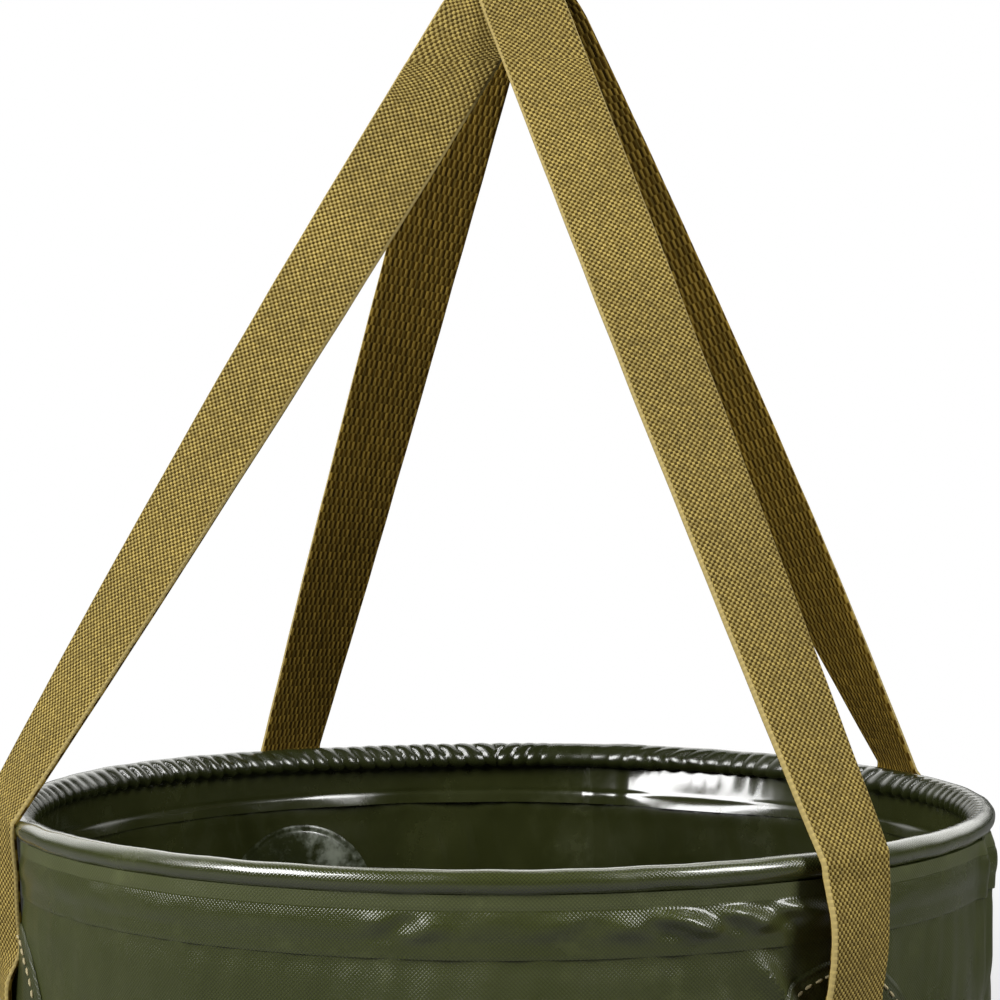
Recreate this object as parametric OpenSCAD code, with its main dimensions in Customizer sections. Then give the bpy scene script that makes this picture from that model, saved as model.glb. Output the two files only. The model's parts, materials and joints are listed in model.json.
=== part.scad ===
// Round, collapsible fruit picking bag: a coated-fabric tub on a wire rim hoop,
// carried by two webbing slings that cross at a sewn crown above the mouth.
// Millimetres, +Z up, origin at the centre of the base on the ground.
// Angles round the bag start at the front (-Y) and grow towards +X.

/* [Bag] */
// Outside diameter of the rim
rim_d = 300; // [260:5:340]
// Height of the bag from the ground to the top of the rim
bag_h = 360; // [330:5:420]
// Thickness of the coated fabric of the wall
sheet_t = 1.0; // [0.8:0.1:1.0]
// Height of the welded hem below the rim
hem_h = 23; // [18:1:26]

/* [Rim] */
// Thickness of the fabric roll that holds the hoop
roll_d = 6.5; // [6:0.5:8]
// Diameter of the spring wire of the hoop
hoop_wire_d = 3.5; // [3:0.5:3.5]
// Length of the crimped sleeve that joins the wire's ends
sleeve_length = 30; // [20:5:40]

/* [Slings] */
// Width of the webbing
web_w = 25; // [20:1:30]
// Thickness of the webbing
web_t = 2.0; // [1.4:0.2:2]
// Height of the crown's centre above the hoop
crown_rise = 236; // [200:1:300]
// Clear radius under the crown, where a hook or a hand goes
crown_r = 14; // [10:0.5:16]
// Diameter of the round patches that hold the sling ends
patch_d = 60; // [50:1:64]
// Distance of the patch's centre below the top of the rim
patch_drop = 58; // [54:1:58]

/* [Base] */
// Thickness of the stiffening board in the base
board_t = 3; // [2:0.5:4]
// Height of the band round the foot of the wall
band_h = 15; // [10:1:16]

/* [Hidden] */
$fn = 96;

olive = "#4a5232";
dark_olive = "#2f3620";
tan = "#a08a4c";
thread = "#c9b987";
steel = "silver";
black = "#202020";

// Where the four sling ends cross the rim, round from the front towards +X.
front_right = 36;
back_right = 117.5;
back_left = 209.5;
front_left = -73;
// How far to the right of the bag's centre each sling crosses the crown.
over_x = 1;
under_x = 5;

// Free space between pieces that slide past each other, and between ones that only touch.
slide_gap = 1.3;
touch_gap = 0.3;
// Fabric thickness of patches, flaps and bands.
patch_t = 0.8;
hem_band_t = 0.6;
// Thread of the seams, raised above the webbing.
thread_w = 1.2;
thread_t = 0.4;
seam_gap = 0.02;
stitch_inset = 3;

// Rim: the hoop's centre line.
roll_r = roll_d / 2;
hoop_r = rim_d / 2 - roll_r;
hoop_z = bag_h - roll_r;
hoop_end_gap = 0.5;
sleeve_gap = 0.05;
roll_inner_r = roll_r - patch_t;
sleeve_inner_r = hoop_wire_d / 2 + sleeve_gap;
sleeve_outer_r = roll_inner_r - sleeve_gap;
sleeve_angle = 160;

// Wall: three panels between the fold creases. The upper one slides down outside the others.
fold_travel = bag_h * 0.6;
roll_gap = 0.1;
rim_overhang = 2.2;
wall_top = bag_h - roll_d - roll_gap;
hem_bottom = bag_h - hem_h;
upper_outer_r = rim_d / 2 - rim_overhang;
upper_inner_r = upper_outer_r - sheet_t;
middle_outer_r = upper_inner_r - slide_gap;
middle_inner_r = middle_outer_r - sheet_t;
lower_outer_r = middle_inner_r - touch_gap;
lower_inner_r = lower_outer_r - sheet_t;
crease_spare = 8;
crease_low = bag_h * 0.35;
crease_high = crease_low + fold_travel / 2 + crease_spare;
panel_lap = 2;

// Base: the board and its liner stay clear of the wall.
board_edge_gap = 4;
liner_edge_gap = 0.5;

// Patches and the tails that are sewn to them.
patch_z = bag_h - patch_drop;
patch_outer_r = upper_outer_r + patch_t;
stitch_ring_r = patch_d / 2 - stitch_inset;
tail_r = patch_outer_r + thread_t + touch_gap + web_t / 2;
tail_end_z = patch_z - 20;
box_z = patch_z - 6;
box_half_h = 11;
box_half_w = web_w / 2 - stitch_inset;
// Heights of the tail's bends below the hoop, and how far in it has come by the second.
tail_start = 0.4;
tail_hang = 8;
tail_bend = 20;
tail_flat = 34;
tail_bend_in = 0.5;

// Crown: two straps bent over the same round space, one on the other.
crown_z = hoop_z + crown_rise;
crossing_gap = 0.8;
under_r = crown_r + web_t / 2;
over_r = under_r + web_t + crossing_gap;
crown_cut_z = crown_z - 10;
crown_cut_gap = 0.4;
crown_seam_half_w = 8;
crown_seam_half_h = 7;
rim_wrap_gap = 0.5;
rim_wrap_r = roll_r + rim_wrap_gap + web_t / 2;

function unit(v) = v / norm(v);
function out_dir(a) = [sin(a), -cos(a), 0];
function along_rim(a) = [cos(a), sin(a), 0];
function smooth(t) = t * t * (3 - 2 * t);
function at_rim(a, radius, z) = out_dir(a) * radius + [0, 0, z];

// Point where a leg meets the rim, used to aim it from the crown.
function rim_point(a) = at_rim(a, hoop_r + rim_wrap_r, hoop_z);
// -1 on the front half of the bag, where legs leave the crown towards -Y, else 1.
function side_of(a) = out_dir(a)[1] < 0 ? -1 : 1;
// Angle from the crown's top at which a leg leaves the curve of radius r.
function leave_angle(a, r) =
    let (p = rim_point(a), dy = abs(p[1]), dz = p[2] - crown_z)
    atan2(dy, dz) - acos(r / norm([dy, dz]));
// Sideways travel of a sling for each millimetre along its path, front to back.
function drift(a_front, a_back) =
    let (f = rim_point(a_front), b = rim_point(a_back))
    (b[0] - f[0]) / (norm([f[1], f[2] - crown_z]) + norm([b[1], b[2] - crown_z]));

// Each sling: radius of its curve at the crown, sideways drift, place of the curve's top on X.
over_sling = [over_r, drift(front_right, back_left), over_x];
under_sling = [under_r, drift(front_left, back_right), under_x];

// Centre of a sling on the crown's curve, t degrees from the top towards the back.
function crown_point(t, sling) =
    [sling[2] + sling[1] * sling[0] * t * PI / 180, sling[0] * sin(t), crown_z + sling[0] * cos(t)];
function crown_out(t) = [0, sin(t), cos(t)];
// Half the strap's width is measured along X here, so it grows with the sling's slant.
function crown_across(sling) = [norm([1, sling[1]]), 0, 0];

// Where a leg leaves the crown's curve, and where it meets the rim.
function leg_top(a, sling) = crown_point(side_of(a) * leave_angle(a, sling[0]), sling);
function rim_tangent(a) =
    let (lean = 90 - leave_angle(a, under_r))
    at_rim(a, hoop_r + rim_wrap_r * cos(lean), hoop_z + rim_wrap_r * sin(lean));
function leg_point(a, sling, z) =
    let (top = leg_top(a, sling), foot = rim_tangent(a), k = (top[2] - z) / (top[2] - foot[2]))
    top + (foot - top) * k;

// Station of a ribbon: centre, direction across the width, direction out of the face.
function leg_station(a, sling, z) =
    let (
        top = leg_top(a, sling),
        foot = rim_tangent(a),
        down = unit(foot - top),
        k = smooth((crown_cut_z - z) / (crown_cut_z - foot[2])),
        across_top = crown_across(sling),
        across_foot = along_rim(a) * -side_of(a),
        mixed = across_top * (1 - k) + across_foot * k,
        across = unit(mixed - down * (mixed * down))
    )
    [leg_point(a, sling, z), across, unit(cross(down, across)) * -side_of(a)];

function rim_station(a, wrap) =
    [
        at_rim(a, hoop_r + rim_wrap_r * cos(wrap), hoop_z + rim_wrap_r * sin(wrap)),
        along_rim(a) * -side_of(a),
        out_dir(a) * cos(wrap) + [0, 0, sin(wrap)]
    ];

// A strip of webbing through a list of stations.
module ribbon(stations, w = web_w, t = web_t) {
    n = len(stations);
    corners = [
        for (s = stations)
            for (c = [[-1, -1], [1, -1], [1, 1], [-1, 1]])
                s[0] + s[1] * c[0] * w / 2 + s[2] * c[1] * t / 2
    ];
    sides = [
        for (i = [0 : n - 2])
            for (k = [0 : 3])
                [4 * i + k, 4 * i + (k + 1) % 4, 4 * i + 4 + (k + 1) % 4, 4 * i + 4 + k]
    ];
    quads = concat([[3, 2, 1, 0]], sides, [[for (k = [0 : 3]) 4 * (n - 1) + k]]);
    right_handed = cross(stations[0][1], stations[0][2]) * (stations[1][0] - stations[0][0]) > 0;
    triangles = [
        for (q = quads)
            for (h = [[q[0], q[1], q[2]], [q[0], q[2], q[3]]])
                right_handed ? [h[2], h[1], h[0]] : h
    ];
    polyhedron(corners, triangles);
}

// A hoop of fabric with a rectangular section.
module ring(outer_r, inner_r, z0, z1) {
    translate([0, 0, z0])
        difference() {
            cylinder(h = z1 - z0, r = outer_r);
            translate([0, 0, -1])
                cylinder(h = z1 - z0 + 2, r = inner_r);
        }
}

// A flat profile pushed outwards through the wall at an angle round the bag.
module through_wall(a) {
    rotate([0, 0, a])
        translate([0, 0, patch_z])
            rotate([90, 0, 0])
                linear_extrude(height = rim_d)
                    children();
}

module base_disc() {
    color(olive) cylinder(h = sheet_t, r = lower_outer_r);
}

module base_board() {
    color(black) translate([0, 0, sheet_t]) cylinder(h = board_t, r = lower_inner_r - board_edge_gap);
}

module base_liner() {
    color(olive) translate([0, 0, sheet_t + board_t]) cylinder(h = patch_t, r = lower_inner_r - liner_edge_gap);
}

module base_band() {
    color(dark_olive) ring(lower_outer_r + patch_t, lower_outer_r, sheet_t, sheet_t + band_h);
}

module wall_lower_panel() {
    color(olive) ring(lower_outer_r, lower_inner_r, sheet_t, crease_low + panel_lap);
}

module wall_middle_panel() {
    color(olive) ring(middle_outer_r, middle_inner_r, crease_low, crease_high + panel_lap);
}

module wall_upper_panel() {
    color(olive) ring(upper_outer_r, upper_inner_r, crease_high, wall_top);
}

module rim_hoop() {
    color(steel)
        rotate([0, 0, sleeve_angle - 90 + hoop_end_gap / 2])
            rotate_extrude(angle = 360 - hoop_end_gap)
                translate([hoop_r, hoop_z]) circle(r = hoop_wire_d / 2);
}

module hoop_sleeve() {
    sweep = sleeve_length / hoop_r * 180 / PI;
    color(steel)
        rotate([0, 0, sleeve_angle - 90 - sweep / 2])
            rotate_extrude(angle = sweep)
                translate([hoop_r, hoop_z])
                    difference() {
                        circle(r = sleeve_outer_r);
                        circle(r = sleeve_inner_r);
                    }
}

module rim_roll() {
    color(olive)
        rotate_extrude()
            translate([hoop_r, hoop_z])
                difference() {
                    circle(r = roll_r);
                    circle(r = roll_inner_r);
                }
}

module hem_band() {
    color(olive) ring(upper_outer_r + hem_band_t, upper_outer_r, hem_bottom, wall_top);
}

module hem_flap() {
    color(olive) ring(upper_inner_r, upper_inner_r - patch_t, hem_bottom, wall_top - touch_gap);
}

module patch(a) {
    color(olive)
        intersection() {
            ring(patch_outer_r, upper_outer_r, patch_z - patch_d, patch_z + patch_d);
            through_wall(a) circle(d = patch_d);
        }
}

module backing(a) {
    color(dark_olive)
        intersection() {
            ring(upper_inner_r, upper_inner_r - patch_t, patch_z - patch_d, patch_z + patch_d);
            through_wall(a) circle(d = patch_d);
        }
}

module tail(a) {
    rim_face_r = hoop_r + rim_wrap_r;
    path = [
        [rim_face_r, hoop_z - tail_start],
        [rim_face_r, hoop_z - tail_hang],
        [rim_face_r - tail_bend_in, hoop_z - tail_bend],
        [tail_r, hoop_z - tail_flat],
        [tail_r, tail_end_z]
    ];
    color(tan) ribbon([for (p = path) [at_rim(a, p[0], p[1]), along_rim(a) * -side_of(a), out_dir(a)]]);
}

module leg(a, sling) {
    foot_z = rim_tangent(a)[2];
    lean = 90 - leave_angle(a, under_r);
    spans = 10;
    color(tan)
        ribbon(concat(
            [
                for (i = [0 : spans])
                    leg_station(a, sling, crown_cut_z - crown_cut_gap + (foot_z - crown_cut_z) * i / spans)
            ],
            [for (i = [1 : 2]) rim_station(a, lean * (1 - i / 2))]
        ));
}

module crown_strap(a_front, a_back, sling) {
    front = leave_angle(a_front, sling[0]);
    back = leave_angle(a_back, sling[0]);
    bends = 12;
    curve = [
        for (i = [0 : bends])
            let (t = -front + (front + back) * i / bends)
            [crown_point(t, sling), crown_across(sling), crown_out(t)]
    ];
    color(tan)
        ribbon(concat(
            [leg_station(a_front, sling, crown_cut_z)],
            curve,
            [leg_station(a_back, sling, crown_cut_z)]
        ));
}

// Square frame with a cross in it, as a box-and-cross seam is sewn.
module box_seam(half_w, half_h) {
    difference() {
        square([2 * half_w, 2 * half_h], center = true);
        square([2 * (half_w - thread_w), 2 * (half_h - thread_w)], center = true);
    }
    intersection() {
        square([2 * half_w, 2 * half_h], center = true);
        for (s = [-1, 1])
            rotate(s * atan2(half_h, half_w)) square([4 * half_w, thread_w], center = true);
    }
}

module patch_stitches() {
    color(thread)
        for (a = [front_right, back_right, back_left, front_left])
            intersection() {
                ring(patch_outer_r + thread_t, patch_outer_r + seam_gap, patch_z - patch_d, patch_z + patch_d);
                through_wall(a)
                    difference() {
                        circle(r = stitch_ring_r);
                        circle(r = stitch_ring_r - thread_w);
                    }
            }
}

module tail_stitches() {
    face_r = tail_r + web_t / 2 + seam_gap;
    color(thread)
        for (a = [front_right, back_right, back_left, front_left])
            rotate([0, 0, a])
                translate([0, -face_r, box_z])
                    rotate([90, 0, 0])
                        linear_extrude(height = thread_t) box_seam(box_half_w, box_half_h);
}

module crown_stitches() {
    top_r = over_r + web_t / 2;
    turn = atan(over_sling[1]);
    color(thread)
        intersection() {
            translate([0, 0, crown_z])
                rotate([0, 90, 0])
                    difference() {
                        cylinder(h = 3 * web_w, r = top_r + thread_t, center = true);
                        cylinder(h = 4 * web_w, r = top_r, center = true);
                    }
            translate([over_x, 0, crown_z])
                rotate([0, 0, -turn])
                    linear_extrude(height = 2 * top_r) box_seam(crown_seam_half_w, crown_seam_half_h);
        }
}

base_disc();
base_board();
base_liner();
base_band();
wall_lower_panel();
wall_middle_panel();
wall_upper_panel();
rim_hoop();
hoop_sleeve();
rim_roll();
hem_band();
hem_flap();
patch(front_right);  // patch_front_right
patch(back_right);  // patch_back_right
patch(back_left);  // patch_back_left
patch(front_left);  // patch_front_left
backing(front_right);  // backing_front_right
backing(back_right);  // backing_back_right
backing(back_left);  // backing_back_left
backing(front_left);  // backing_front_left
tail(front_right);  // tail_front_right
tail(back_right);  // tail_back_right
tail(back_left);  // tail_back_left
tail(front_left);  // tail_front_left
leg(front_right, over_sling);  // leg_front_right
leg(back_right, under_sling);  // leg_back_right
leg(back_left, over_sling);  // leg_back_left
leg(front_left, under_sling);  // leg_front_left
crown_strap(front_right, back_left, over_sling);  // crown_strap_over
crown_strap(front_left, back_right, under_sling);  // crown_strap_under
patch_stitches();
tail_stitches();
crown_stitches();
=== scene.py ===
import json

import bmesh
import bpy
import numpy as np
from math import acos, atan2, cos, hypot, pi, radians, sin, sqrt
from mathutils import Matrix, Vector


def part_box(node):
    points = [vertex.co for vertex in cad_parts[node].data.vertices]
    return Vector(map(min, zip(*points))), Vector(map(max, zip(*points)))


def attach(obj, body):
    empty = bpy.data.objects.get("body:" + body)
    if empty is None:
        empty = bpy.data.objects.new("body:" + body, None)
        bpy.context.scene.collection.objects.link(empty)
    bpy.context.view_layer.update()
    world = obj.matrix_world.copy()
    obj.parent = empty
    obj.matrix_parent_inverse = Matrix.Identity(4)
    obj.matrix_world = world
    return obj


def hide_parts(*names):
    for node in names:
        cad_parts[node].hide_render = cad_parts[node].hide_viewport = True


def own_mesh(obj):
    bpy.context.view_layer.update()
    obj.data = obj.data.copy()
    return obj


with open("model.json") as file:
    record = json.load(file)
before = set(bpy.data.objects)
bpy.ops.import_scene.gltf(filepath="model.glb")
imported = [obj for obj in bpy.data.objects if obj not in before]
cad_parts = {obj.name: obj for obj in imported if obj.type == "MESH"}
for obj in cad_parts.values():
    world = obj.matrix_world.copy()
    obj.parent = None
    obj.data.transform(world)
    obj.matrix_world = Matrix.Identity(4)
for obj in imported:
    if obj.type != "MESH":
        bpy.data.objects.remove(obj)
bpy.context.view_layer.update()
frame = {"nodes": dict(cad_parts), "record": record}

mm = 0.001

# Where things are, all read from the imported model.
rollLow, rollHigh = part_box("rim_roll")
rollRadius = (rollHigh.z - rollLow.z) / 2
hoopRadius = rollHigh.x - rollRadius
hoopZ = rollHigh.z - rollRadius
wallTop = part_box("wall_upper_panel")[1].z
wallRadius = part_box("wall_upper_panel")[1].x
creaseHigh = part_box("wall_upper_panel")[0].z
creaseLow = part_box("wall_middle_panel")[0].z
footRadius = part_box("wall_lower_panel")[1].x
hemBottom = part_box("hem_band")[0].z
patchLow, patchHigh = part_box("patch_front_right")
patchRadius = (patchHigh.z - patchLow.z) / 2
patchZ = (patchHigh.z + patchLow.z) / 2
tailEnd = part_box("tail_front_right")[0].z
mounts = {m["name"]: m for m in frame["record"]["mounts"]}
sheetThickness = 1.0 * mm


def angleOf(node):
    # angle round the bag from the front, growing towards +X
    low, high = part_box(node)
    centre = (low + high) / 2
    return atan2(centre.x, -centre.y)


# twist is a share of the turn that the strap needs, turns are in degrees, the rest in millimetres
slingEnds = {
    "frontRight": {"node": "front_right", "twist": 1.05, "turn": 4, "tailTurn": 12,
                   "standOff": 2.0, "slack": 3.0, "bow": 0.0},
    "backRight": {"node": "back_right", "twist": 1.14, "turn": -3, "tailTurn": -12,
                  "standOff": 2.0, "slack": 3.0, "bow": 0.0},
    "backLeft": {"node": "back_left", "twist": 1.27, "turn": 6, "tailTurn": 10,
                 "standOff": 2.0, "slack": 3.0, "bow": 0.0},
    "frontLeft": {"node": "front_left", "twist": 0.79, "turn": 16, "tailTurn": 24,
                  "standOff": 1.6, "slack": 1.2, "bow": 0.6},
}
for end in slingEnds.values():
    end["angle"] = angleOf("tail_" + end["node"])


def smoothStep(low, high, x):
    t = np.clip((x - low) / (high - low), 0, 1)
    return t * t * (3 - 2 * t)


def bell(x, width):
    return np.exp(-((x / width) ** 2))


def angleGap(a, b):
    return (a - b + pi) % (2 * pi) - pi


def nearTo(angle, degrees, width):
    # 1 at this many degrees round, fading out over the width
    return bell(angleGap(angle, radians(degrees)), radians(width))


def place(angle, radius, z):
    angle, radius, z = np.broadcast_arrays(angle, radius, z)
    return np.stack([np.sin(angle) * radius, -np.cos(angle) * radius, z], -1)


def ripple(angle, z, seed, waves, climbs, count=12):
    # smooth noise that closes on itself round the bag: a sum of plane waves, about 1 high
    rng = np.random.default_rng(seed)
    total = 0
    for _ in range(count):
        around = int(rng.integers(waves[0], waves[1] + 1))
        climb = rng.uniform(*climbs) * rng.choice([-1, 1])
        total = total + np.sin(around * angle + climb * z + rng.uniform(0, 2 * pi))
    return total / sqrt(count / 2)


def addObject(name, data):
    holder = bpy.data.objects.new(name, data)
    bpy.context.scene.collection.objects.link(holder)
    return holder


def gridPiece(name, points, uAxis, vAxis, closedU=False, closedV=False,
              rowSlots=None, capEnds=False, weld=False, sharp=40):
    # points is (columns, rows, 3); uAxis and vAxis are the cloth's own measures, in millimetres
    points = np.asarray(points, float)
    columns, rows = points.shape[:2]
    nu = columns if closedU else columns - 1
    nv = rows if closedV else rows - 1
    i, j = np.meshgrid(np.arange(nu), np.arange(nv), indexing="ij")
    i2, j2 = (i + 1) % columns, (j + 1) % rows
    quads = np.stack([i * rows + j, i2 * rows + j, i2 * rows + j2, i * rows + j2], -1).reshape(-1, 4)
    uAxis, vAxis = np.asarray(uAxis, float), np.asarray(vAxis, float)
    uv = np.stack([
        np.stack([uAxis[i], vAxis[j]], -1),
        np.stack([uAxis[i + 1], vAxis[j]], -1),
        np.stack([uAxis[i + 1], vAxis[j + 1]], -1),
        np.stack([uAxis[i], vAxis[j + 1]], -1),
    ], 2).reshape(-1, 2)
    mesh = bpy.data.meshes.new(name)
    mesh.vertices.add(columns * rows)
    mesh.vertices.foreach_set("co", points.reshape(-1))
    mesh.loops.add(quads.size)
    mesh.loops.foreach_set("vertex_index", quads.reshape(-1).astype(np.int32))
    mesh.polygons.add(len(quads))
    mesh.polygons.foreach_set("loop_start", np.arange(0, quads.size, 4, dtype=np.int32))
    mesh.polygons.foreach_set("use_smooth", np.ones(len(quads), bool))
    if rowSlots is not None:
        mesh.polygons.foreach_set("material_index", np.asarray(rowSlots)[j].reshape(-1).astype(np.int32))
    mesh.update(calc_edges=True)
    layer = mesh.uv_layers.new(name="cloth")
    layer.data.foreach_set("uv", uv.reshape(-1))
    tidy = bmesh.new()
    tidy.from_mesh(mesh)
    if capEnds:
        tidy.verts.ensure_lookup_table()
        for column in (0, columns - 1):
            tidy.faces.new([tidy.verts[column * rows + row] for row in range(rows)])
    if weld:
        bmesh.ops.remove_doubles(tidy, verts=tidy.verts, dist=1e-6)
        bmesh.ops.dissolve_degenerate(tidy, edges=tidy.edges, dist=1e-7)
    bmesh.ops.recalc_face_normals(tidy, faces=tidy.faces)
    tidy.to_mesh(mesh)
    tidy.free()
    mesh.set_sharp_from_angle(angle=radians(sharp))
    return addObject(name, mesh)


def finishPiece(piece, body, nodes, materials):
    for material in materials:
        piece.data.materials.append(material)
    if nodes:
        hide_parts(*nodes)
    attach(piece, body)
    return piece


def newGroup(name, inputs, outputs):
    group = bpy.data.node_groups.new(name, "ShaderNodeTree")
    for socketName, kind, value in inputs:
        socket = group.interface.new_socket(name=socketName, in_out="INPUT", socket_type=kind)
        if value is not None:
            socket.default_value = value
    for socketName, kind in outputs:
        group.interface.new_socket(name=socketName, in_out="OUTPUT", socket_type=kind)
    return group, group.nodes.new("NodeGroupInput"), group.nodes.new("NodeGroupOutput")


def wire(tree, value, socket):
    if hasattr(value, "is_output"):
        tree.links.new(value, socket)
    else:
        socket.default_value = value


def sums(tree, operation, a, b=None, c=None):
    node = tree.nodes.new("ShaderNodeMath")
    node.operation = operation
    for value, socket in zip((a, b, c), node.inputs):
        if value is not None:
            wire(tree, value, socket)
    return node.outputs[0]


def times(tree, a, b):
    return sums(tree, "MULTIPLY", a, b)


def rangeOf(tree, value, fromLow, fromHigh, toLow=0.0, toHigh=1.0, smooth=True):
    node = tree.nodes.new("ShaderNodeMapRange")
    node.interpolation_type = "SMOOTHSTEP" if smooth else "LINEAR"
    for item, socket in zip((value, fromLow, fromHigh, toLow, toHigh), node.inputs):
        wire(tree, item, socket)
    return node.outputs[0]


def blendColours(tree, factor, a, b, mode="MIX"):
    node = tree.nodes.new("ShaderNodeMix")
    node.data_type = "RGBA"
    node.blend_type = mode
    wire(tree, factor, node.inputs["Factor"])
    wire(tree, a if hasattr(a, "is_output") else (*a, 1), node.inputs["A"])
    wire(tree, b if hasattr(b, "is_output") else (*b, 1), node.inputs["B"])
    return node.outputs["Result"]


def greyOf(tree, value):
    node = tree.nodes.new("ShaderNodeCombineColor")
    for socket in node.inputs[:3]:
        tree.links.new(value, socket)
    return node.outputs[0]


def noiseOf(tree, vector, scale, detail=3.0, roughness=0.55):
    node = tree.nodes.new("ShaderNodeTexNoise")
    wire(tree, vector, node.inputs["Vector"])
    wire(tree, scale, node.inputs["Scale"])
    node.inputs["Detail"].default_value = detail
    node.inputs["Roughness"].default_value = roughness
    return node.outputs[0]


def makeGrainGroup():
    # fine diagonal lattice pressed into the coating
    group, into, out = newGroup(
        "diagonalGrain",
        [("Cloth", "NodeSocketVector", None), ("Pitch", "NodeSocketFloat", 1.05)],
        [("Height", "NodeSocketFloat")],
    )
    parts = group.nodes.new("ShaderNodeSeparateXYZ")
    group.links.new(into.outputs["Cloth"], parts.inputs[0])
    turn = sums(group, "DIVIDE", pi, into.outputs["Pitch"])
    slopes = []
    for operation in ("ADD", "SUBTRACT"):
        diagonal = sums(group, operation, parts.outputs[0], parts.outputs[1])
        slopes.append(sums(group, "SINE", times(group, diagonal, turn)))
    height = sums(group, "ABSOLUTE", times(group, *slopes))
    group.links.new(sums(group, "POWER", height, 0.7), out.inputs["Height"])
    return group


def makeCloudGroup():
    # soft patches of a second tone, from two sizes of noise
    group, into, out = newGroup(
        "cloudyMask",
        [("Place", "NodeSocketVector", None), ("Scale", "NodeSocketFloat", 12.0),
         ("Low", "NodeSocketFloat", 0.35), ("High", "NodeSocketFloat", 0.7)],
        [("Mask", "NodeSocketFloat")],
    )
    wide = noiseOf(group, into.outputs["Place"], into.outputs["Scale"], 4.0)
    fine = noiseOf(group, into.outputs["Place"], times(group, into.outputs["Scale"], 5.3), 3.0)
    both = sums(group, "ADD", times(group, wide, 0.7), times(group, fine, 0.3))
    mask = rangeOf(group, both, into.outputs["Low"], into.outputs["High"])
    group.links.new(mask, out.inputs["Mask"])
    return group


def makeWeaveGroup():
    # plain weave: floats of one thread stand up in a chequer; the Float mask marks them, and the gaps between
    # them get painted shade in the webbing's colour
    group, into, out = newGroup(
        "plainWeave",
        [("Cloth", "NodeSocketVector", None), ("Across", "NodeSocketFloat", 1.5),
         ("Along", "NodeSocketFloat", 1.4)],
        [("Height", "NodeSocketFloat"), ("Float", "NodeSocketFloat"), ("Tint", "NodeSocketFloat")],
    )
    parts = group.nodes.new("ShaderNodeSeparateXYZ")
    group.links.new(into.outputs["Cloth"], parts.inputs[0])
    across = sums(group, "DIVIDE", parts.outputs[0], into.outputs["Across"])
    along = sums(group, "DIVIDE", parts.outputs[1], into.outputs["Along"])
    a = sums(group, "SINE", times(group, across, pi))
    b = sums(group, "SINE", times(group, along, pi))
    crossing = times(group, a, b)
    isFloat = rangeOf(group, crossing, -0.3, 0.3)
    rounded = sums(group, "POWER", sums(group, "ABSOLUTE", crossing), 0.6)
    low = times(group, rounded, 0.25)
    high = sums(group, "MULTIPLY_ADD", rounded, 0.6, 0.4)
    isHigh = sums(group, "GREATER_THAN", crossing, 0.0)
    isLow = sums(group, "SUBTRACT", 1.0, isHigh)
    height = sums(group, "ADD", times(group, high, isHigh), times(group, low, isLow))
    cell = group.nodes.new("ShaderNodeCombineXYZ")
    group.links.new(sums(group, "FLOOR", across), cell.inputs[0])
    group.links.new(sums(group, "FLOOR", along), cell.inputs[1])
    chance = group.nodes.new("ShaderNodeTexWhiteNoise")
    group.links.new(cell.outputs[0], chance.inputs["Vector"])
    group.links.new(height, out.inputs["Height"])
    group.links.new(isFloat, out.inputs["Float"])
    group.links.new(chance.outputs["Value"], out.inputs["Tint"])
    return group


grainGroup = makeGrainGroup()
cloudGroup = makeCloudGroup()
weaveGroup = makeWeaveGroup()
print("shader groups ready")


def startMaterial(name):
    material = bpy.data.materials.new(name)
    material.use_nodes = True
    tree = material.node_tree
    shader = tree.nodes["Principled BSDF"]
    coords = tree.nodes.new("ShaderNodeTexCoord")
    return material, tree, shader, coords


def groupNode(tree, group, **values):
    node = tree.nodes.new("ShaderNodeGroup")
    node.node_tree = group
    for key, value in values.items():
        wire(tree, value, node.inputs[key])
    return node


def addBump(tree, height, strength, distance, under=None):
    bump = tree.nodes.new("ShaderNodeBump")
    bump.inputs["Strength"].default_value = strength
    bump.inputs["Distance"].default_value = distance
    tree.links.new(height, bump.inputs["Height"])
    if under is not None:
        tree.links.new(under, bump.inputs["Normal"])
    return bump.outputs["Normal"]


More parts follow.
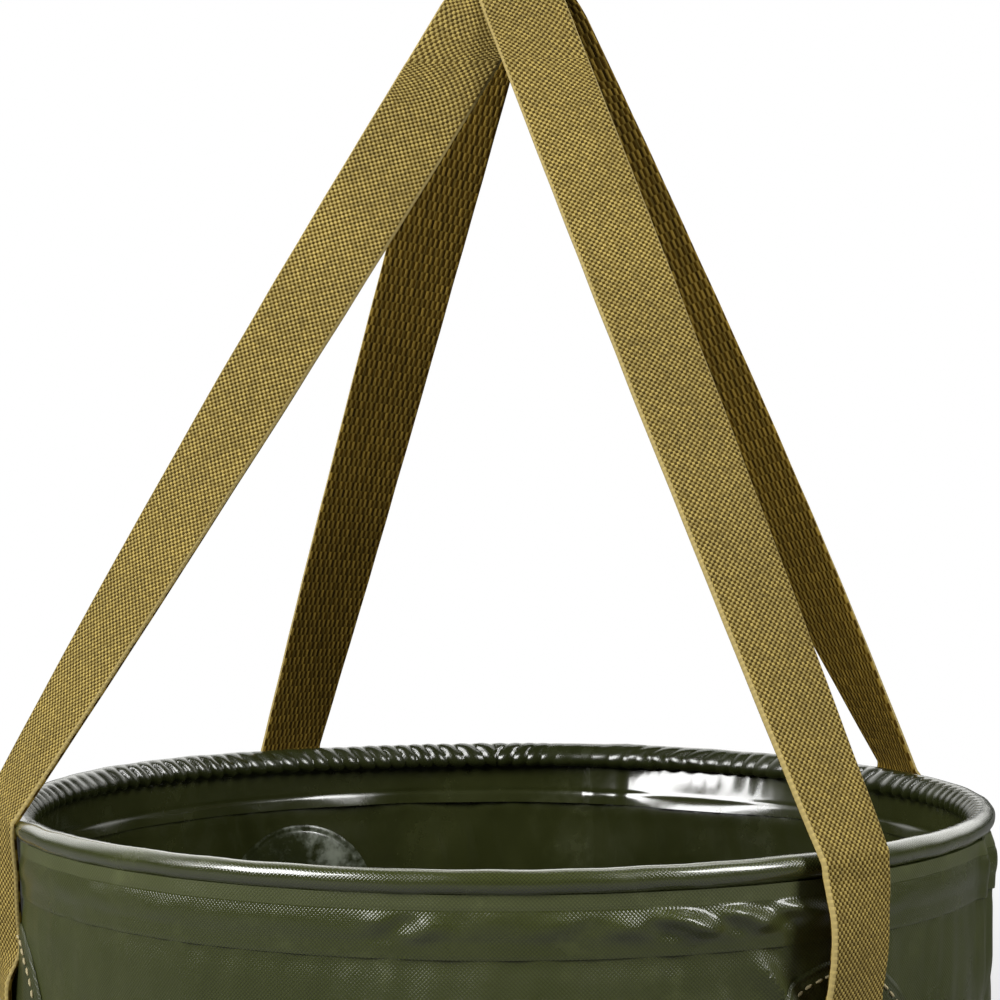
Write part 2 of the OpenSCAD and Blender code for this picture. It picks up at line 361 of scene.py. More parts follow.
def coatedCloth(name, colour, secondColour, roughness=(0.3, 0.42), grain=0.6, pitch=1.05,
                coat=0.15, cloud=9.0, creaseBump=0.25, cloudRange=(0.35, 0.7)):
    material, tree, shader, coords = startMaterial(name)
    cloudy = groupNode(tree, cloudGroup, Place=coords.outputs["Object"], Scale=cloud,
                       Low=cloudRange[0], High=cloudRange[1])
    scuffs = groupNode(tree, cloudGroup, Place=coords.outputs["Object"], Scale=60.0, Low=0.52, High=0.75)
    tone = blendColours(tree, cloudy.outputs["Mask"], colour, secondColour)
    grainNode = groupNode(tree, grainGroup, Cloth=coords.outputs["UV"], Pitch=pitch)
    # painted shade: the grain's hollows are darkened in the colour
    grainHollowShade = rangeOf(tree, grainNode.outputs["Height"], 0.1, 0.8, 1.0 - 0.42 * min(1.0, grain * 2), 1.0)
    tone = blendColours(tree, 1.0, tone, greyOf(tree, grainHollowShade), "MULTIPLY")
    faded = [min(1, c * 2.6) for c in secondColour]
    worn = blendColours(tree, times(tree, scuffs.outputs["Mask"], 0.16), tone, faded)
    tree.links.new(worn, shader.inputs["Base Color"])
    rough = rangeOf(tree, cloudy.outputs["Mask"], 0.0, 1.0, roughness[0], roughness[1], smooth=False)
    rough = sums(tree, "MULTIPLY_ADD", scuffs.outputs["Mask"], 0.12, rough)
    tree.links.new(rough, shader.inputs["Roughness"])
    shader.inputs["Coat Weight"].default_value = coat
    shader.inputs["Coat Roughness"].default_value = 0.12
    shader.inputs["IOR"].default_value = 1.5
    wide = addBump(tree, noiseOf(tree, coords.outputs["Object"], 38.0, 3.0), creaseBump, 1.2 * mm)
    fine = addBump(tree, noiseOf(tree, coords.outputs["Object"], 700.0, 2.0), 0.12, 0.1 * mm, wide)
    if grain > 0:
        fine = addBump(tree, grainNode.outputs["Height"], grain, 0.16 * mm, fine)
    tree.links.new(fine, shader.inputs["Normal"])
    return material


webbingLook = {
    "across": 0.88, "along": 0.86, "edgeWidth": 0.45, "rib": 3.2,
    "light": (0.43, 0.322, 0.088), "gapShade": (0.075, 0.045, 0.004), "edge": (0.50, 0.39, 0.15),
    # the underside colours are the face's colours darkened as painted shade
    "shadedUnderFloat": (0.31, 0.205, 0.036), "shadedUnderGap": (0.072, 0.038, 0.003),
}


def webbingCloth(name, underside, width=25.0):
    look = webbingLook
    material, tree, shader, coords = startMaterial(name)
    # painted shade: the underside is a darker copy of the face, as it looks down away from the lamps
    light, gapShade = (look["shadedUnderFloat"], look["shadedUnderGap"]) if underside else (look["light"], look["gapShade"])
    along = look["along"] * (3.6 if underside else 1.0)
    across = look["across"]
    weave = groupNode(tree, weaveGroup, Cloth=coords.outputs["UV"], Across=across, Along=along)
    parts = tree.nodes.new("ShaderNodeSeparateXYZ")
    tree.links.new(coords.outputs["UV"], parts.inputs[0])
    # painted shade: the gaps between the floats take the darker colour
    colour = blendColours(tree, weave.outputs["Float"], gapShade, light)
    tint = rangeOf(tree, weave.outputs["Tint"], 0.0, 1.0, 0.72, 1.12, smooth=False)
    cloudy = groupNode(tree, cloudGroup, Place=coords.outputs["Object"], Scale=22.0, Low=0.3, High=0.75)
    tint = times(tree, tint, rangeOf(tree, cloudy.outputs["Mask"], 0.0, 1.0, 0.84, 1.08, smooth=False))
    colour = blendColours(tree, 1.0, colour, greyOf(tree, tint), "MULTIPLY")
    if underside:
        # the warp shows as long ribs on the inner face, with painted shade darkening the grooves between them
        rib = sums(tree, "ABSOLUTE", sums(tree, "SINE", times(tree, parts.outputs[0], pi / look["rib"])))
        ribGrooveShade = rangeOf(tree, rib, 0.0, 0.7, 0.45, 1.0)
        colour = blendColours(tree, 1.0, colour, greyOf(tree, ribGrooveShade), "MULTIPLY")
    fromMiddle = sums(tree, "ABSOLUTE", sums(tree, "SUBTRACT", parts.outputs[0], width / 2))
    selvedge = width / 2 - look["edgeWidth"]
    atEdge = rangeOf(tree, fromMiddle, selvedge - 0.25, selvedge + 0.15)
    if not underside:
        colour = blendColours(tree, times(tree, atEdge, 0.75), colour, look["edge"])
    tree.links.new(colour, shader.inputs["Base Color"])
    rough = rangeOf(tree, weave.outputs["Float"], 0.0, 1.0, 0.92, 0.66, smooth=False)
    tree.links.new(rough, shader.inputs["Roughness"])
    shader.inputs["Specular IOR Level"].default_value = 0.06 if underside else 0.2
    fibre = tree.nodes.new("ShaderNodeMapping")
    fibre.inputs["Scale"].default_value = (9.0, 1.1, 1.0)
    tree.links.new(coords.outputs["UV"], fibre.inputs["Vector"])
    threads = addBump(tree, noiseOf(tree, fibre.outputs[0], 1.0, 2.0), 0.35, 0.12 * mm)
    height = times(tree, weave.outputs["Height"], sums(tree, "SUBTRACT", 1.0, times(tree, atEdge, 0.6)))
    tree.links.new(addBump(tree, height, 0.9, 0.3 * mm, threads), shader.inputs["Normal"])
    return material


def threadCloth(name, colour):
    material, tree, shader, coords = startMaterial(name)
    wave = tree.nodes.new("ShaderNodeTexWave")
    wave.wave_type = "BANDS"
    wave.bands_direction = "DIAGONAL"
    wave.inputs["Scale"].default_value = 900.0
    tree.links.new(coords.outputs["Object"], wave.inputs["Vector"])
    cloudy = groupNode(tree, cloudGroup, Place=coords.outputs["Object"], Scale=40.0)
    # painted shade: the grooves between the thread's twists are darker
    strand = blendColours(tree, wave.outputs["Fac"], [c * 0.55 for c in colour], colour)
    strand = blendColours(tree, times(tree, cloudy.outputs["Mask"], 0.3), strand, [c * 0.6 for c in colour])
    tree.links.new(strand, shader.inputs["Base Color"])
    rough = rangeOf(tree, wave.outputs["Fac"], 0.0, 1.0, 0.8, 0.55, smooth=False)
    tree.links.new(rough, shader.inputs["Roughness"])
    tree.links.new(addBump(tree, wave.outputs["Fac"], 0.5, 0.1 * mm), shader.inputs["Normal"])
    return material


def steelOrPlastic(name, colour, roughness, metallic, streaks):
    material, tree, shader, coords = startMaterial(name)
    stretched = tree.nodes.new("ShaderNodeMapping")
    stretched.inputs["Scale"].default_value = streaks
    tree.links.new(coords.outputs["Object"], stretched.inputs["Vector"])
    marks = noiseOf(tree, stretched.outputs[0], 120.0, 4.0)
    cloudy = groupNode(tree, cloudGroup, Place=coords.outputs["Object"], Scale=30.0)
    tone = blendColours(tree, cloudy.outputs["Mask"], colour, [c * 0.72 for c in colour])
    tree.links.new(tone, shader.inputs["Base Color"])
    rough = rangeOf(tree, marks, 0.2, 0.8, roughness - 0.1, roughness + 0.12, smooth=False)
    tree.links.new(rough, shader.inputs["Roughness"])
    shader.inputs["Metallic"].default_value = metallic
    tree.links.new(addBump(tree, marks, 0.25, 0.1 * mm), shader.inputs["Normal"])
    return material


outerCloth = coatedCloth("oliveCoatedCloth", (0.045, 0.054, 0.011), (0.060, 0.069, 0.018),
                         roughness=(0.26, 0.38), coat=0.15)
hemCloth = coatedCloth("oliveHem", (0.045, 0.054, 0.011), (0.058, 0.067, 0.018),
                       roughness=(0.22, 0.32), grain=0.5, coat=0.5)
rollCloth = coatedCloth("oliveRolledHem", (0.038, 0.045, 0.011), (0.052, 0.060, 0.018),
                        roughness=(0.18, 0.26), grain=0.35, coat=1.0, creaseBump=0.08)
# painted shade: the gathered inner side of the roll is a near-black copy of the olive
shadedGatherCloth = coatedCloth("oliveGathersShaded", (0.013, 0.016, 0.004), (0.022, 0.026, 0.007),
                          roughness=(0.2, 0.3), grain=0.15, coat=0.4, creaseBump=0.2)
weldCloth = coatedCloth("oliveWeldedStrip", (0.075, 0.086, 0.029), (0.088, 0.100, 0.036),
                        roughness=(0.3, 0.4), grain=0.45, coat=0.25)
# painted shade: the inner faces get a much darker olive than the outside, for the shade inside the bag
shadedInnerCloth = coatedCloth("oliveInnerFaceShaded", (0.018, 0.021, 0.005), (0.032, 0.036, 0.010),
                         roughness=(0.16, 0.3), grain=0.0, coat=0.75, creaseBump=0.5)
patchCloth = coatedCloth("olivePatch", (0.036, 0.042, 0.010), (0.048, 0.056, 0.016),
                         roughness=(0.28, 0.4), coat=0.3)
# painted shade and painted sheen: the backing's dark base matches the shaded inner faces, and its whitish
# mottled patches stand in for a sheen
backingCloth = coatedCloth("backingPaintedSheen", (0.022, 0.026, 0.009), (0.20, 0.22, 0.17),
                           roughness=(0.14, 0.4), grain=0.0, coat=0.8, cloud=55.0, cloudRange=(0.47, 0.66))
footCloth = coatedCloth("oliveFootBand", (0.028, 0.034, 0.009), (0.040, 0.048, 0.014))
webbingFace = webbingCloth("tanWebbing", False)
shadedWebbingUnder = webbingCloth("tanWebbingUndersideShaded", True)
seamThread = threadCloth("tanThread", (0.58, 0.49, 0.27))
wireSteel = steelOrPlastic("drawnSpringWire", (0.42, 0.42, 0.43), 0.32, 1.0, (1.0, 1.0, 1.0))
sleeveMetal = steelOrPlastic("crimpedSleeve", (0.6, 0.6, 0.61), 0.38, 1.0, (1.0, 1.0, 4.0))
boardPlastic = steelOrPlastic("blackBoard", (0.02, 0.02, 0.02), 0.55, 0.0, (0.2, 2.0, 1.0))
print("materials ready")


wallLook = {
    "sag": 1.5, "buckle": 0.7, "crumple": 0.13, "foldDepth": 1.5, "foldWidth": 2.6,
    "lapAngle": 164, "lapWidth": 13, "lapStep": 0.8,
    "pull": {"at": 149, "width": 14, "depth": 6.5, "low": 258, "high": 336},
    "dent": {"at": 206, "width": 9, "depth": 2.0, "height": 318, "reach": 12},
}
arcRadius = 147 * mm  # turns an angle into a length along the wall
# creases: angle and height of the middle, lean from upright, half length, half width and depth,
# in degrees and millimetres
creases = [
    (70, 322, 0, 34, 2.0, 1.1), (73.5, 318, 2, 36, 1.6, -1.0), (77, 324, -2, 30, 2.2, 1.2),
    (66, 312, 3, 30, 2.6, 0.8), (28.5, 324, 36, 17, 2.0, 3.6), (24.5, 319, 30, 18, 3.0, -1.3),
    (50, 300, -38, 30, 4.0, 1.0), (20, 276, 50, 34, 5.0, 1.3), (-20, 300, -62, 30, 5.0, 0.9),
    (-58, 296, -24, 28, 3.5, 1.2), (-96, 300, 28, 34, 4.0, 1.2), (100, 300, -26, 34, 4.0, 1.1),
    (136, 300, 24, 34, 4.0, -1.2), (190, 296, -30, 36, 4.4, 1.3), (228, 302, 30, 34, 3.8, -1.0),
    (-130, 292, -22, 36, 4.0, 1.2), (10, 190, 18, 38, 5.0, 1.2), (64, 176, -24, 42, 5.4, 1.3),
    (128, 200, 30, 36, 5.0, -1.2), (202, 182, -20, 42, 5.2, 1.2), (-38, 196, 26, 40, 5.2, -1.3),
    (-84, 178, -30, 38, 5.0, 1.2), (-112, 198, 18, 36, 4.6, -1.1), (168, 174, 24, 34, 5.0, 1.0),
    (36, 82, 24, 30, 5.0, 1.1), (96, 74, -24, 30, 5.2, -1.0), (176, 84, 20, 32, 5.0, 1.1),
    (-60, 78, -22, 32, 5.0, 1.1), (-8, 70, 30, 26, 5.0, -0.9), (-140, 80, -28, 32, 5.0, 1.0),
]
# folds that run up through the hem: degrees round the bag, depth in millimetres, width in degrees
rimFolds = [
    (67.5, 2.1, 1.2), (71.0, -1.4, 1.0), (74.0, 2.3, 1.2),
    (77.5, -1.5, 1.2), (-34.0, 0.3, 2.0), (118.0, 0.5, 2.0),
]


def wallBase(angle, z):
    straight = np.interp(z, [0, 0.6 * creaseHigh, creaseHigh, wallTop],
                         [footRadius + 0.1 * mm, footRadius + 0.6 * mm, wallRadius - 0.9 * mm, wallRadius])
    # under the rim at the back right the wall is pulled in, and its inside catches the light
    look = wallLook["pull"]
    pull = nearTo(angle, look["at"], look["width"]) * smoothStep(wallTop, wallTop - 17 * mm, z)
    pull = pull * smoothStep(look["low"] * mm, look["high"] * mm, z)
    folds = 0
    for at, depth, width in rimFolds:
        folds = folds + depth * mm * nearTo(angle, at, width)
    window = smoothStep(298 * mm, 318 * mm, z) * smoothStep(wallTop + 3 * mm, wallTop - 6 * mm, z)
    return straight - look["depth"] * mm * pull + folds * window


def wallShape(angle, z):
    look = wallLook
    free = smoothStep(12 * mm, 70 * mm, z) * smoothStep(hemBottom + 3 * mm, hemBottom - 42 * mm, z)
    out = look["sag"] * mm * ripple(angle, z, 3, (2, 6), (4, 22)) * free
    out = out + look["buckle"] * mm * ripple(angle, z, 5, (8, 20), (2, 26)) * free
    near = smoothStep(4 * mm, 30 * mm, z) * smoothStep(hemBottom + 12 * mm, hemBottom - 4 * mm, z)
    out = out + look["crumple"] * mm * ripple(angle, z, 8, (40, 100), (60, 240), 16) * near
    for height, seed in ((creaseLow, 21), (creaseHigh, 22)):
        wander = 1.2 * mm * ripple(angle, 0, seed, (2, 9), (0, 1))
        depth = look["foldDepth"] * mm * (1 + 0.35 * ripple(angle, 0, seed + 5, (3, 14), (0, 1)))
        gap = np.abs(z - height - wander * smoothStep(0, 4 * mm, np.abs(z - height)))
        out = out - depth * np.exp(-gap / (look["foldWidth"] * mm))
        out = out + 0.35 * depth * bell(gap - 9 * mm, 6 * mm)
    for middle, height, lean, half, width, depth in creases:
        arc = angleGap(angle, radians(middle)) * arcRadius
        rise = z - height * mm
        tilt = radians(lean)
        along = rise * cos(tilt) - arc * sin(tilt)
        across = arc * cos(tilt) + rise * sin(tilt)
        window = smoothStep(half * mm, half * 0.35 * mm, np.abs(along))
        profile = np.exp(-np.abs(across) / (width * mm))
        profile = profile - 0.35 * bell(np.abs(across) - 2.6 * width * mm, 1.6 * width * mm)
        out = out + 0.8 * depth * mm * window * profile
    dent = look["dent"]
    dented = nearTo(angle, dent["at"], dent["width"]) * bell(z - dent["height"] * mm, dent["reach"] * mm)
    out = out - dent["depth"] * mm * dented
    # the free wall hugs the hem flap's lower edge
    out = out - 0.25 * mm * bell(z - hemBottom + 1.5 * mm, 2.5 * mm)
    return wallBase(angle, z) + out


def lapStrip(angle):
    # 1 on the side seam's overlap, 0 elsewhere
    look = wallLook
    arc = np.abs(angleGap(angle, radians(look["lapAngle"]))) * arcRadius / mm
    return smoothStep(look["lapWidth"] / 2 + 0.7, look["lapWidth"] / 2 - 0.5, arc)


def lapWelds(angle):
    # the two lines pressed in beside the side seam's edges
    look = wallLook
    arc = np.abs(angleGap(angle, radians(look["lapAngle"]))) * arcRadius / mm
    return bell(arc - look["lapWidth"] / 2 + 2.4, 0.9)


columnsRound = 640
roundAngles = np.linspace(0, 2 * pi, columnsRound, endpoint=False)
roundU = np.linspace(0, 2 * pi * wallRadius * 1000, columnsRound + 1)


def shellRound(name, heights, outerAt, thickness, angles=roundAngles, uAxis=roundU, slots=(0, 1)):
    # a closed band of cloth: up the outside, over the edge, down the inside
    heights = np.asarray(heights)
    a = angles[:, None]
    outer = outerAt(a, heights[None, :])
    inner = outer - thickness(a, heights[None, :]) if callable(thickness) else outer - thickness
    up = place(a, outer, heights[None, :])
    down = place(a, inner, heights[None, :])[:, ::-1]
    points = np.concatenate([up, down], 1)
    z = heights * 1000
    vAxis = np.concatenate([z, 2 * z[-1] - z[::-1] + 1, [z[0]]])
    n = len(heights)
    rowSlots = [slots[0]] * (n - 1) + [slots[0]] + [slots[1]] * (n - 1) + [slots[0]]
    return gridPiece(name, points, uAxis, vAxis, closedU=True, closedV=True, rowSlots=rowSlots)


def outsideOfWall(a, z):
    return wallShape(a, z) + mm * wallLook["lapStep"] * lapStrip(a) - 0.25 * mm * lapWelds(a)


def wallThickness(a, z):
    # the side seam's overlap is thicker
    return sheetThickness * (1 + 0.8 * lapStrip(a))


def wallSection(name, low, high, rows, body, node):
    piece = shellRound(name, np.linspace(low, high, rows), outsideOfWall, wallThickness)
    return finishPiece(piece, body, [node], [outerCloth, shadedInnerCloth])


wallSection("wallUpper", creaseHigh, wallTop - 0.2 * mm, 72, "rim", "wall_upper_panel")
wallMiddle = wallSection("wallMiddle", creaseLow, creaseHigh, 66, "middle", "wall_middle_panel")
wallLower = wallSection("wallLower", 1.0 * mm, creaseLow, 66, "base", "wall_lower_panel")
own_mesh(wallLower)
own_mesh(wallMiddle)
print("wall ready")


hemLook = {"thickness": 0.6, "upperWeld": 4.2, "lowerWeld": 4.0, "bulge": 0.3, "pucker": 0.5, "shelf": 1.6,
           "shelfAt": (21, 12), "puckerAt": [(22, 12, 2.6), (-9, 4, 2.0)]}


def puckers(angle, z, seed):
    # short upright gathers, stronger in some places than in others
    where = 0.10 + 0.30 * smoothStep(0.2, 1.6, ripple(angle, 0, seed, (2, 9), (0, 1)))
    for at, width, height in hemLook["puckerAt"]:
        where = where + height * nearTo(angle, at, width)
    return where * ripple(angle, z, seed + 1, (24, 64), (120, 480), 14)


def hemOuter(a, z):
    look = hemLook
    up = (z - hemBottom) * 1000
    span = (wallTop - hemBottom) * 1000
    top = span - look["upperWeld"]
    zone = smoothStep(look["lowerWeld"] - 1, look["lowerWeld"] + 4, up) * smoothStep(top + 0.4, top - 3.4, up)
    welds = 0.18 * mm * ripple(a, z, 61, (20, 60), (10, 50)) * (1 - zone)
    lines = 0.5 * bell(up - look["lowerWeld"] - 0.5, 0.8) + 1.1 * bell(up - (span - look["upperWeld"]), 0.6)
    base = wallBase(a, z) + look["thickness"] * mm * (0.4 + 0.6 * smoothStep(0, 9, up))
    base = base + mm * wallLook["lapStep"] * lapStrip(a) * 0.6
    bumps = zone * (look["bulge"] + look["pucker"] * puckers(a, z, 31)) * mm
    fading = 0.35 + 0.65 * smoothStep(-0.5, 1.0, ripple(a, 0, 63, (2, 12), (0, 1)))
    # at the front right the hem stands off, and its upper half leans back to the light
    shelf = look["shelf"] * mm * nearTo(a, *look["shelfAt"])
    bumps = bumps + shelf * smoothStep(2, 9, up) * smoothStep(span - look["upperWeld"] + 0.4, 9, up)
    return base + bumps + 0.4 * welds - 0.16 * mm * lines * fading - 0.12 * mm * bell(up, 0.5)


hemAngles = np.linspace(0, 2 * pi, 1300, endpoint=False)
hemU = np.linspace(0, 2 * pi * wallRadius * 1000, len(hemAngles) + 1)
hemHeights = np.linspace(hemBottom, wallTop - 0.1 * mm, 34)


def hemThickness(a, z):
    return hemOuter(a, z) - wallBase(a, z) - 0.05 * mm - mm * wallLook["lapStep"] * lapStrip(a) * 0.3


hemBand = shellRound("hemBand", hemHeights, hemOuter, hemThickness, hemAngles, hemU, slots=(0, 0))
up = np.array([p.center.z for p in hemBand.data.polygons])
spanTop = wallTop - hemLook["upperWeld"] * mm
isWeld = up > spanTop
hemBand.data.polygons.foreach_set("material_index", isWeld.astype(np.int32))
finishPiece(hemBand, "rim", ["hem_band"], [hemCloth, weldCloth])


def flapOuter(a, z):
    return wallBase(a, z) - sheetThickness - 0.02 * mm - mm * 0.8 * lapStrip(a)


def flapThickness(a, z):
    up = (z - hemBottom) * 1000
    wave = 0.5 + 0.5 * ripple(a, 0, 44, (5, 24), (0, 1))
    loose = 1.1 * mm * wave * smoothStep(7, 0, up)
    gathers = 0.1 * mm * ripple(a, z, 47, (60, 130), (10, 160), 14) * smoothStep(5, 14, up)
    lines = 0.25 * mm * bell(up - 5.2, 0.7)
    return 0.8 * mm + loose + np.abs(gathers) - lines


flapHeights = np.linspace(hemBottom + 1.0 * mm, wallTop - 1.0 * mm, 26)
hemFlap = shellRound("hemFlap", flapHeights, flapOuter, flapThickness, slots=(0, 0))
finishPiece(hemFlap, "rim", ["hem_flap"], [shadedInnerCloth])
print("hem ready")


# each "At" holds degrees round and a width in degrees
rollLook = {
    "ribPitch": 6.1, "ribDepth": 1.35, "slant": -2.0, "hang": 3.0, "wrap": 1.0, "slit": 14,
    "columns": 2000, "rows": 34, "lapAt": (168, 5.5), "ridgeAt": (161, 2.6),
    "crossedAt": (154, 7), "risenAt": (186, 24), "hangAt": (222, 42),
}


def makeRoll():
    look = rollLook
    a = np.linspace(0, 2 * pi, look["columns"], endpoint=False)[:, None]
    # the cloth goes nearly once round the hoop: 0 is outward, a quarter turn up, a half inward
    slit = radians(look["slit"])
    turn = np.linspace(slit - pi / 2, 1.5 * pi - slit, look["rows"])[None, :]
    ribs = round(2 * pi * hoopRadius * 1000 / look["ribPitch"])
    phase = ribs * a + ripple(a, 0, 71, (3, 24), (0, 1), 20)
    phase = phase + look["slant"] * (turn - pi) * np.sign(np.sin(a))
    rib = np.abs(np.cos(phase / 2)) ** 0.75
    inward = smoothStep(-0.15, 0.75, -np.cos(turn - 0.25))
    inward = inward + 0.55 * bell(turn - radians(95), 0.5) * nearTo(a, *look["risenAt"])
    lap = nearTo(a, *look["lapAt"]) ** 0.6
    strength = (0.88 + 0.14 * ripple(a, 0, 73, (4, 24), (0, 1))) * (1 - 0.92 * np.clip(lap, 0, 1))
    calm = 0.55 * smoothStep(radians(166), radians(150), a) * smoothStep(radians(122), radians(132), a)
    strength = strength * (1 - calm)
    # beside the lap the gathers cross each other
    crossed = nearTo(a, *look["crossedAt"])
    zigzag = np.abs(np.cos(ribs * 0.42 * a + 2.2 * np.abs(turn - pi))) ** 0.8
    rib = rib * (1 - crossed) + zigzag * crossed * 1.25
    radius = rollRadius - 0.06 * mm + look["ribDepth"] * mm * (rib - 0.72) * inward * strength
    # on the inside the gathers hang below the hoop
    radius = radius + look["hang"] * mm * nearTo(turn, *look["hangAt"])
    radius = radius + 0.05 * mm * ripple(a, turn * 0.01, 75, (20, 60), (50, 200)) * (1 - inward)
    radius = radius + 0.28 * mm * nearTo(a, *look["ridgeAt"])
    level = hoopZ - 0.25 * mm + 0.17 * mm * ripple(a, 0, 79, (2, 5), (0, 1))
    back = turn[:, ::6]
    lining = rollRadius - look["wrap"] * mm - 0.1 * mm * ripple(a, 0, 80, (40, 90), (0, 1)) + 0 * back
    outside = place(a, hoopRadius + radius * np.cos(turn), level + radius * np.sin(turn))
    inside = place(a, hoopRadius + lining * np.cos(back), level + lining * np.sin(back))
    points = np.concatenate([outside, inside[:, ::-1]], 1)
    uAxis = np.linspace(0, 2 * pi * wallRadius * 1000, look["columns"] + 1)
    v = turn[0] * rollRadius * 1000
    vAxis = np.concatenate([v, v[-1] + 1 + (v[-1] - v[::-1])[::6], [2 * v[-1] - v[0] + 2]])
    # the inner rows of the roll take the painted-shade gathers colour
    rowSlots = [1 if radians(88) < t < radians(250) else 0 for t in turn[0]] + [0] * len(back[0])
    piece = gridPiece("rimRoll", points, uAxis, vAxis, closedU=True, closedV=True, rowSlots=rowSlots)
    return finishPiece(piece, "rim", ["rim_roll"], [rollCloth, shadedGatherCloth])


makeRoll()
print("rim roll ready")


patchLook = {"thickness": 0.8, "inside": 0.3, "columns": 128, "rows": 26}


def patchPiece(name, angle, side, node, material):
    # side 1 lies on the outside of the wall, -1 on the inside
    look = patchLook
    spin = np.linspace(0, 2 * pi, look["columns"], endpoint=False)[:, None]
    reach = np.concatenate([np.linspace(0, 0.9, look["rows"] - 8), np.linspace(0.92, 1.0, 8)])[None, :]
    thick = (look["thickness"] if side > 0 else look["inside"]) * mm

    def layer(share, shrink):
        r = patchRadius * reach * shrink
        arc, rise = r * np.cos(spin), r * np.sin(spin)
        at = angle + arc / wallRadius
        z = patchZ + rise
        skin = outsideOfWall(at, z)
        if side < 0:
            skin = skin - wallThickness(at, z)
        lift = thick * share * (1 - 0.75 * smoothStep(0.965, 1.0, reach) * (share > 0.5))
        weld = 0.22 * mm * bell((1 - reach) * patchRadius - 1.9 * mm, 0.7 * mm) * (share > 0.5)
        wrinkle = 0.10 * mm * np.sin(7 * spin + 160 * r) * smoothStep(0.4, 0.9, reach) * (share > 0.5)
        return place(at, skin + side * (lift - weld + wrinkle + 0.03 * mm), z)

    points = np.concatenate([layer(1.0, 1.0), layer(0.0, 0.995)[:, ::-1]], 1)
    uAxis = np.linspace(0, 2 * pi * patchRadius * 1000, look["columns"] + 1)
    v = reach[0] * patchRadius * 1000
    vAxis = np.concatenate([v, 2 * v[-1] - v[::-1] + 0.5])
    piece = gridPiece(name, points, uAxis, vAxis, closedU=True, weld=True)
    # the grain runs straight across a patch, so its map is flat
    layerMap = piece.data.uv_layers["cloth"]
    corners = np.array([piece.data.vertices[l.vertex_index].co for l in piece.data.loops])
    arcs = angleGap(np.arctan2(corners[:, 0], -corners[:, 1]), angle) * wallRadius
    flat = np.stack([arcs * 1000, corners[:, 2] * 1000], -1)
    layerMap.data.foreach_set("uv", flat.reshape(-1))
    return finishPiece(piece, "rim", [node], [material])


def patchFace(angle, z, proud):
    # radius a little proud of an outer patch's face, in millimetres
    return float(outsideOfWall(np.array(angle), np.array(z))) + (patchLook["thickness"] + proud) * mm


def capsules(centres, alongs, outs, length, radius):
    # one rounded stitch for each place; returns points (count, rings, sides, 3)
    sides, rings = 8, 7
    turn = np.linspace(0, 2 * pi, sides, endpoint=False)
    t = np.linspace(0, pi, rings)
    x = -np.cos(t) * length / 2
    r = np.maximum(np.sin(t) ** 0.7, 0.02) * radius
    arch = 0.35 * radius * np.sin(t)
    centres, alongs, outs = map(np.asarray, (centres, alongs, outs))
    alongs = alongs / np.linalg.norm(alongs, axis=1, keepdims=True)
    outs = outs / np.linalg.norm(outs, axis=1, keepdims=True)
    across = np.cross(alongs, outs)
    p = centres[:, None, None] + alongs[:, None, None] * x[None, :, None, None]
    p = p + outs[:, None, None] * (arch[None, :, None, None] + (r[:, None] * np.cos(turn))[None, :, :, None])
    return p + across[:, None, None] * (r[:, None] * np.sin(turn))[None, :, :, None]


def stitchPiece(name, centres, alongs, outs, body, nodes, length=2.5 * mm, radius=0.42 * mm):
    points = capsules(centres, alongs, outs, length, radius)
    count, rings, sides = points.shape[:3]
    verts = points.reshape(-1, 3)
    faces = []
    for s in range(count):
        start = s * rings * sides
        for i in range(rings - 1):
            for k in range(sides):
                k2 = (k + 1) % sides
                near, far = start + i * sides, start + (i + 1) * sides
                faces.append((near + k, near + k2, far + k2, far + k))
        faces.append(tuple(start + k for k in reversed(range(sides))))
        faces.append(tuple(start + (rings - 1) * sides + k for k in range(sides)))
    mesh = bpy.data.meshes.new(name)
    mesh.from_pydata(verts.tolist(), [], faces)
    tidy = bmesh.new()
    tidy.from_mesh(mesh)
    bmesh.ops.recalc_face_normals(tidy, faces=tidy.faces)
    tidy.to_mesh(mesh)
    tidy.free()
    mesh.polygons.foreach_set("use_smooth", np.ones(len(mesh.polygons), bool))
    return finishPiece(addObject(name, mesh), body, nodes, [seamThread])


ringCentres, ringAlongs, ringOuts = [], [], []
stitchPitch = 3.3 * mm
for label, end in slingEnds.items():
    angle, node = end["angle"], end["node"]
    patchPiece("patch." + label, angle, 1, "patch_" + node, patchCloth)
    patchPiece("backing." + label, angle, -1, "backing_" + node, backingCloth)
    ringRadius = patchRadius - 3.6 * mm
    count = round(2 * pi * ringRadius / stitchPitch)
    for k in range(count):
        spin = 2 * pi * k / count
        at = angle + ringRadius * cos(spin) / wallRadius
        z = patchZ + ringRadius * sin(spin)
        out = Vector((sin(at), -cos(at), 0))
        tangent = Vector((cos(at), sin(at), 0))
        ringCentres.append(place(at, patchFace(at, z, 0.12), z))
        ringOuts.append(out)
        ringAlongs.append(tangent * -sin(spin) + Vector((0, 0, 1)) * cos(spin))
stitchPiece("patchStitches", ringCentres, ringAlongs, ringOuts, "rim", ["patch_stitches"])
print("patches ready")


webbing = {"width": 25 * mm, "thickness": 2.0 * mm, "edge": 0.75 * mm, "step": 1.6 * mm}
crownRadius = 14 * mm
crownZ = mounts["crown"]["pos_m"][2] - crownRadius
cutZ = crownZ - 10 * mm
wrapRadius = rollRadius + 0.5 * mm + webbing["thickness"] / 2
slings = {
    "under": {"front": "frontLeft", "back": "backRight", "topX": 5 * mm, "node": "crown_strap_under",
              "radius": crownRadius + webbing["thickness"] / 2},
    "over": {"front": "frontRight", "back": "backLeft", "topX": 1 * mm, "node": "crown_strap_over",
             "radius": crownRadius + webbing["thickness"] * 1.5 + 0.15 * mm},
}


def outward(angle):
    return Vector((sin(angle), -cos(angle), 0))


